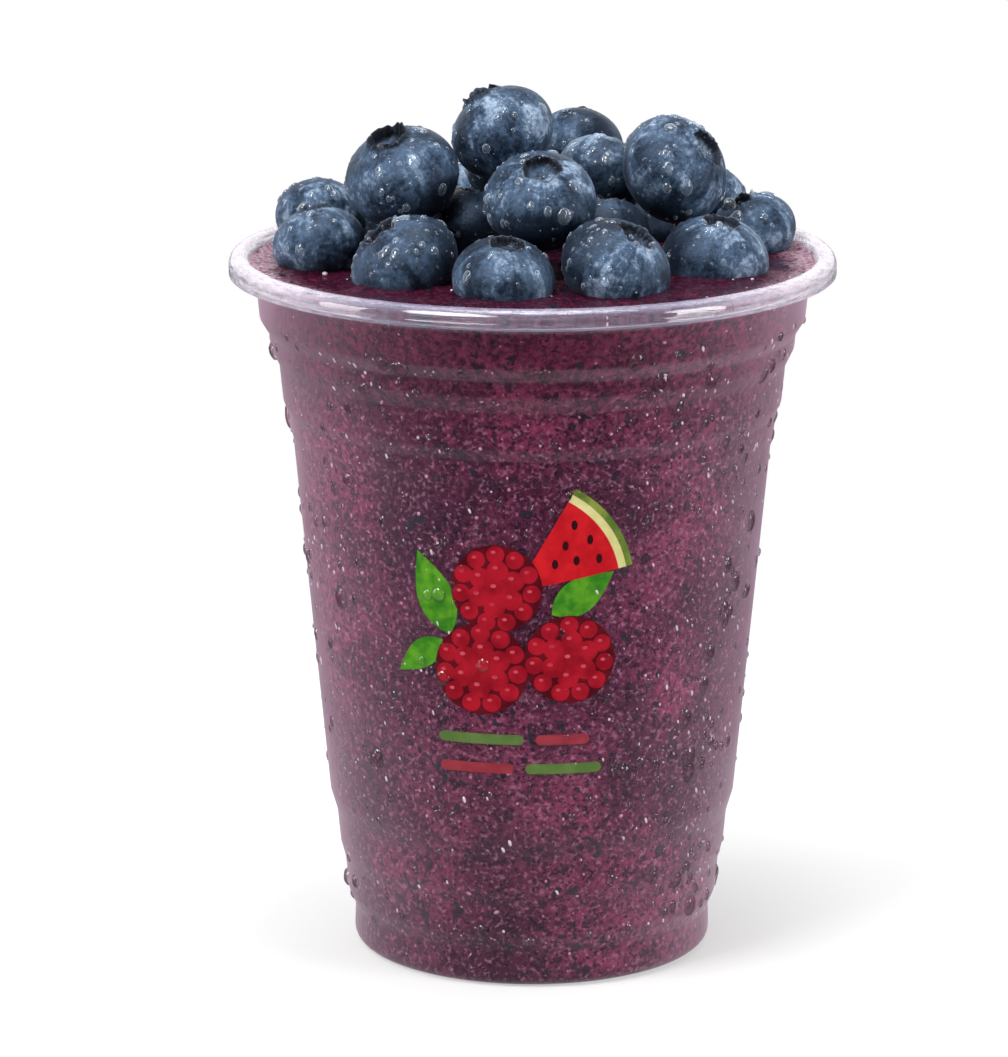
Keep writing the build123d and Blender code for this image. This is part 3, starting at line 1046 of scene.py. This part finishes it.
def build_print(outline):
    """A plain fruit emblem of our own: a slice, three round fruits, leaves and two rows of bars."""
    fruits = [(-1.4, 4.8, 7.3), (-3.8, -8.6, 7.6), (10.3, -6.9, 7.3)]
    drupes = [drupe for fruit in fruits for drupe in drupes_of(*fruit)]
    lights = [disc(x - r * 0.22, y + r * 0.3, r * 0.26, 10, 0.7) for x, y, r in drupes]
    leaves = [
        leaf(-8.8, -3.2, 14.6, 6.4, 113),
        leaf(7.4, 0.6, 12, 5.8, 34),
        leaf(-10.2, -4.2, 10, 4.6, 218),
    ]
    rind, cream, flesh, seeds = slice_shapes()
    green = [bar(-3.9, -20.4, 13.8, 1.7), bar(9.4, -25.3, 12.2, 1.7)]
    red = [bar(9.2, -20.4, 8.6, 1.7), bar(-4.6, -25.3, 12.0, 1.7)]
    layers = [
        ("print_rind", rind, 1, (84, 112, 38), (136, 150, 60)),
        ("print_cream", cream, 2, (204, 198, 128), (220, 212, 152)),
        ("print_flesh", flesh, 1.5, (182, 12, 26), (208, 22, 32)),
        ("print_seeds", seeds, 3, (60, 8, 18), (40, 6, 14)),
        ("print_leaves", leaves, 1, (44, 118, 26), (94, 160, 30)),
        ("print_fruit_shade", [disc(*fruit, 40) for fruit in fruits], 3, (74, 2, 16), (100, 4, 22)),
        ("print_fruit", [disc(*drupe, 18) for drupe in drupes], 4, (138, 4, 26), (174, 12, 36)),
        ("print_fruit_light", lights, 5, (206, 84, 98), (184, 44, 62)),
        ("print_bar_green", green, 1, (84, 112, 56), (98, 126, 62)),
        ("print_bar_red", red, 1, (140, 46, 58), (156, 56, 66)),
    ]
    for name, shapes, layer, tint, other in layers:
        ink = plain_material(name + "_ink", tint, other, 260.0, 0.4, 0.15)
        piece(ink_mesh(name, outline, shapes, layer), name, ink)


# --- studio


def light_box(name, at, size, power):
    """A soft square lamp that faces the cup."""
    lamp = bpy.data.lights.new(name, "AREA")
    lamp.shape = "RECTANGLE"
    lamp.size, lamp.size_y = size
    lamp.energy = power
    thing = shown_as(name, lamp)
    thing.location = at
    thing.rotation_euler = (Vector(LAMPS_FACE) - Vector(at)).to_track_quat("-Z", "Y").to_euler()


def seen_directly(nodes):
    """Two values: 1 for what the camera, gloss and clear stuff show, 0 once light has been
    scattered; and 1 for what gloss shows, 0 for all else."""
    path = nodes.add("ShaderNodeLightPath").outputs
    total = nodes.plus(path["Is Camera Ray"], path["Is Glossy Ray"])
    total = nodes.plus(total, path["Is Transmission Ray"], clamp=True)
    fresh = nodes.math("LESS_THAN", path["Diffuse Depth"], 0.5)
    return nodes.times(total, fresh), path["Is Glossy Ray"]


def build_room():
    """White surroundings that look dimmer in gloss, with one bright patch for the glints."""
    world = bpy.data.worlds.new("studio")
    bpy.context.scene.world = world
    world.use_nodes = True
    world.node_tree.nodes.clear()
    nodes = Nodes(world.node_tree)
    way = nodes.add("ShaderNodeTexCoord").outputs["Generated"]
    direct, glossy = seen_directly(nodes)
    ceiling = nodes.ramp(nodes.axis(way, "Z"), 0.25, 0.60, 1.0, CEILING)
    room = nodes.times(ceiling, nodes.ramp(nodes.axis(way, "Y"), -0.60, 0.80, FRONT, 1.0))
    towards = nodes.vector("DOT_PRODUCT", way, Vector(SOFT_BOX).normalized())
    room = nodes.plus(room, nodes.ramp(towards, 0.955, 0.975, 0.0, GLINT))
    shiny = nodes.plus(nodes.times(nodes.minus(room, 1.0), glossy), 1.0)
    level = nodes.times(nodes.ramp(direct, 0, 1, AMBIENT, 1.0), shiny)
    back = nodes.add("ShaderNodeBackground", {"Color": (255, 255, 255), "Strength": level})
    nodes.feed(nodes.add("ShaderNodeOutputWorld"), "Surface", back)


def floor_material():
    """Pale paper that keeps the shadow near the cup and is plain white farther off."""
    nodes = new_material("studio_floor")
    place = nodes.place()
    away = nodes.vector("LENGTH", place)
    tint = nodes.mix(nodes.noise(place, 3.0, 2.0), (244, 244, 245), (246, 246, 246))
    bounced = nodes.add("ShaderNodeLightPath").outputs["Is Diffuse Ray"]
    tint = nodes.mix(bounced, tint, (176, 174, 178))
    paper = nodes.add("ShaderNodeBsdfPrincipled", {"Base Color": tint, "Roughness": 0.75})
    direct, glossy = seen_directly(nodes)
    dim = nodes.times(glossy, nodes.minus(1.0, nodes.ramp(away, 0.085, 0.15, 0.42, FRONT)))
    glow = nodes.add("ShaderNodeEmission", {"Strength": nodes.minus(1.0, dim)})
    near = nodes.ramp(away, 0.10, 0.30, 1.0, 0.0)
    plain = nodes.math("MAXIMUM", nodes.ramp(near, 0, 1, 1.0, 0.45), glossy)
    return finished(nodes, nodes.joined(nodes.times(direct, plain), paper, glow))


def build_floor():
    """A pale floor just under the cup."""
    signs = ((-1, -1), (1, -1), (1, 1), (-1, 1))
    corners = [(x * FLOOR_HALF, y * FLOOR_HALF, -FLOOR_DROP) for x, y in signs]
    mesh = plain_mesh("floor", corners, [(0, 1, 2, 3)])
    mesh.materials.append(floor_material())
    shown_as("floor", mesh)


def build_camera():
    """A long lens a little above the rim."""
    lens = bpy.data.cameras.new("camera")
    lens.lens = LENS
    lens.sensor_width = SENSOR
    lens.clip_start, lens.clip_end = 0.01, 50.0
    camera = shown_as("camera", lens)
    camera.location = CAMERA_AT
    camera.rotation_euler = (math.radians(90 - CAMERA_DOWN), 0, 0)
    bpy.context.scene.camera = camera


def build_studio():
    """White surroundings, a pale floor that keeps the shadow, soft lamps and the camera."""
    build_room()
    build_floor()
    for name, at, size, power in LAMPS:
        light_box(name, at, size, power)
    build_camera()
    bpy.context.scene.view_settings.view_transform = "Standard"


# --- dew, drops and pressed bits


def strew_dew(tree, berries, top_host, mist_and_painted_tone):
    """Dew on the berries, and small drops round them on the smoothie's top, pale with painted glints."""
    # The dew's pale tone is painted light: bright crescents and glints, most round each drop's edge.
    dew = water_material("dew", 1.42, 0.08, 0.36, (190, 206, 222), 0.75)
    host = joined("dewy", [thing.data for thing in berries])
    for row in BERRY_DEW:
        strew(tree, host, dew, *row)
    strew(tree, top_host, mist_and_painted_tone, *TOP_DEW)


def strew_condensation(tree, outline, mist_and_painted_tone):
    """Water on the outside of the cup, most of it on the flanks."""
    side = upright(outline, *DEW_SPAN)
    host = turned("wall", side, HOST_SIDES, close_start=False, close_end=False)
    spots = points_of(host)
    from_front = np.abs(np.degrees(np.arctan2(spots[:, 0], -spots[:, 1])))
    damp = np.array([ripple(x, y, z, 16.0, 2.0) for x, y, z in spots])
    wet = np.clip(0.62 + 1.1 * damp, 0.12, 1.6) * np.clip((from_front - 8) / 20, 0.2, 1)
    mark(host, "wet", wet * np.clip((105 - from_front) / 40, 0.55, 1))
    # The finest drops take the pale tone of painted glints.
    strew(tree, host, mist_and_painted_tone, *WALL_DEW[0])
    # A dark tone round each drop's edge: a painted shaded ring.
    water = water_material("wall_water", 1.5, 0.05, 0.70, (82, 44, 66), 0.6)
    for row in WALL_DEW[1:]:
        strew(tree, host, water, *row)


def strew_pulp(tree, outside):
    """Skins and crumbs of pulp pressed against the wall."""
    dark = plain_material("skin_flecks", (70, 34, 60), (34, 16, 38), 500.0, 0.45)
    pale = plain_material("pale_pulp", (206, 150, 176), (166, 100, 132), 900.0, 0.5)
    inner = upright(rounded(parallel(outside, WALL - BITE)[:-ROLL_POINTS]), *PULP_SPAN)
    host = turned("lining", inner, HOST_SIDES, close_start=False, close_end=False)
    spots = points_of(host)
    mark(host, "wet", [max(0.2, 1 + 0.9 * ripple(x, y, z, 12.0, 4.0)) for x, y, z in spots])
    for material, row in zip((dark, dark, pale), PRESSED_PULP):
        strew(tree, host, material, *row)


# --- the whole


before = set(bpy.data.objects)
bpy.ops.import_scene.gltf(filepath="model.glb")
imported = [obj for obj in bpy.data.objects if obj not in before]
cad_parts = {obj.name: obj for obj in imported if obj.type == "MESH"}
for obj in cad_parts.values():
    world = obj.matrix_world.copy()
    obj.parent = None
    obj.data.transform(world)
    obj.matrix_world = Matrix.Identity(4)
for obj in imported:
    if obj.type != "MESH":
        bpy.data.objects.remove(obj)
cad_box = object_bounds()

outside = wall_points()
outline = rounded(outside)
top = cad_box[1][2] / MM
packed = [(name, thing) for name, thing in sorted(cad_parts.items()) if name.startswith("blueberry")]
berries = [berry_facts(name, thing) for name, thing in packed]

skin = skin_material()
shown = [build_berry(berry, i, top, skin) for i, berry in enumerate(berries)]
top_host = build_smoothie(outside, berries, smoothie_material(bits_group())).data.copy()
build_cup(outside, wall_material(), rim_material())
build_print(outline)

scatter = scatter_tree()
# Pale drops on the wall and round the berries: their whitish tone is a painted glint.
painted_glint_drops = water_material("painted_glint_drops", 1.4, 0.72, 0.6, (240, 222, 234), 1.0)
strew_dew(scatter, shown, top_host, painted_glint_drops)
strew_condensation(scatter, outline, painted_glint_drops)
strew_pulp(scatter, outside)

build_studio()
